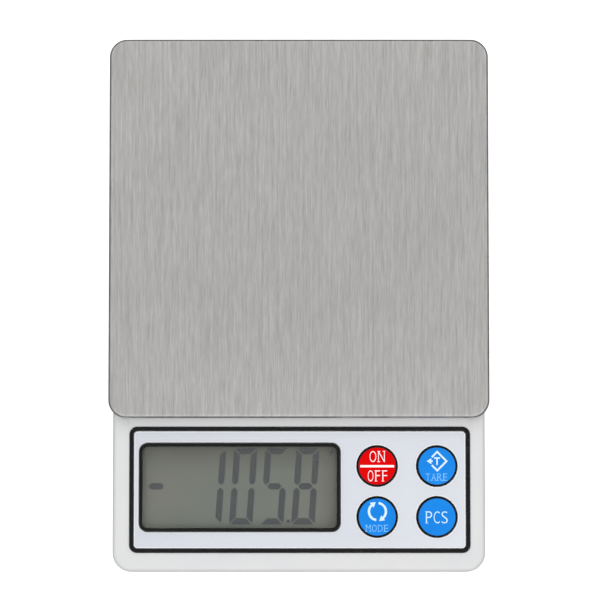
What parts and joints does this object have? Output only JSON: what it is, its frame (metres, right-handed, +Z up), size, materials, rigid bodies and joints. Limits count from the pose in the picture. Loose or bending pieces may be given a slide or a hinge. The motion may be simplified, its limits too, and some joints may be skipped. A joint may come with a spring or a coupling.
{
  "type": "digital gram scale",
  "caption": "Table-top digital gram scale with a square brushed-steel platter on a load cell, a liquid-crystal display and round push keys in a white plastic case.",
  "frame": {"origin": "on the table, under the middle of the scale's outline", "axes": "+X to the user's right, +Y away from the user, from the keys to the back of the platter, +Z up"},
  "size_m": [0.128, 0.18, 0.027],
  "materials": {
    "steel": "brushed along the depth",
    "white_plastic": "fine moulded texture",
    "grey_plastic": "moulded",
    "silver_panel": "silver print under a clear face",
    "black_gloss": "polished",
    "clear_lens": "polished acrylic",
    "lcd": "polarised glass",
    "red_plastic": "satin moulded",
    "blue_plastic": "satin moulded",
    "rubber": "moulded",
    "zinc": "zinc plated",
    "switch_metal": "moulded",
    "aluminium": "machined",
    "silicone": "cast silicone",
    "board": "solder mask on glass-fibre board",
    "epoxy": "cast epoxy",
    "battery": null,
    "white_wire": "wire insulation",
    "red_wire": "wire insulation",
    "black_wire": "wire insulation"
  },
  "bodies": {
    "case": {"top_cover": "white_plastic", "base_tray": "white_plastic", "load_cell": "aluminium", "load_cell_spacer": "zinc", "load_cell_screw_1": "zinc", "load_cell_screw_2": "zinc", "gauge_cover_top": "silicone", "gauge_cover_bottom": "silicone", "load_cell_cable": "white_wire", "cable_socket": "white_plastic", "main_board": "board", "controller_blob": "epoxy", "lcd_glass": "lcd", "lcd_reflector": "silver_panel", "lcd_holder": "white_plastic", "zebra_strip_1": "rubber", "zebra_strip_2": "rubber", "display_window": "clear_lens", "window_frame": "black_gloss", "panel_bezel": "black_gloss", "front_panel": "silver_panel", "battery_cell_1": "battery", "battery_cell_2": "battery", "battery_link": "zinc", "battery_contact_positive": "zinc", "battery_contact_negative": "zinc", "battery_spring_1": "zinc", "battery_spring_2": "zinc", "battery_lead_red": "red_wire", "battery_lead_black": "black_wire", "on_off_switch": "switch_metal", "tare_switch": "switch_metal", "mode_switch": "switch_metal", "pcs_switch": "switch_metal", "foot_1": "rubber", "case_screw_1": "zinc", "board_screw_1": "zinc", "foot_2": "rubber", "case_screw_2": "zinc", "board_screw_2": "zinc", "foot_3": "rubber", "case_screw_3": "zinc", "board_screw_3": "zinc", "foot_4": "rubber", "case_screw_4": "zinc", "board_screw_4": "zinc"},
    "pan": {"steel_platter": "steel", "platter_carrier": "grey_plastic", "carrier_screw_1": "zinc", "carrier_screw_2": "zinc"},
    "battery_door": {"battery_door": "white_plastic"},
    "on_off_button": {"on_off_key": "red_plastic", "on_off_plunger": "grey_plastic"},
    "tare_button": {"tare_key": "blue_plastic", "tare_plunger": "grey_plastic"},
    "mode_button": {"mode_key": "blue_plastic", "mode_plunger": "grey_plastic"},
    "pcs_button": {"pcs_key": "blue_plastic", "pcs_plunger": "grey_plastic"}
  },
  "joints": [
    {"name": "on_off_press", "type": "slide", "parent": "case", "child": "on_off_button", "axis": [0, 0, -1], "range_m": [0, 0.0004], "stiffness_N_per_m": 2500},
    {"name": "tare_press", "type": "slide", "parent": "case", "child": "tare_button", "axis": [0, 0, -1], "range_m": [0, 0.0004], "stiffness_N_per_m": 2500},
    {"name": "mode_press", "type": "slide", "parent": "case", "child": "mode_button", "axis": [0, 0, -1], "range_m": [0, 0.0004], "stiffness_N_per_m": 2500},
    {"name": "pcs_press", "type": "slide", "parent": "case", "child": "pcs_button", "axis": [0, 0, -1], "range_m": [0, 0.0004], "stiffness_N_per_m": 2500},
    {"name": "pan_deflection", "type": "slide", "parent": "case", "child": "pan", "axis": [0, 0, -1], "range_m": [0, 0.0005], "stiffness_N_per_m": 58800, "deforming": ["load_cell"]},
    {"name": "battery_door_slide", "type": "slide", "parent": "case", "child": "battery_door", "axis": [0, 1, 0], "range_m": [0, 0.026]}
  ]
}
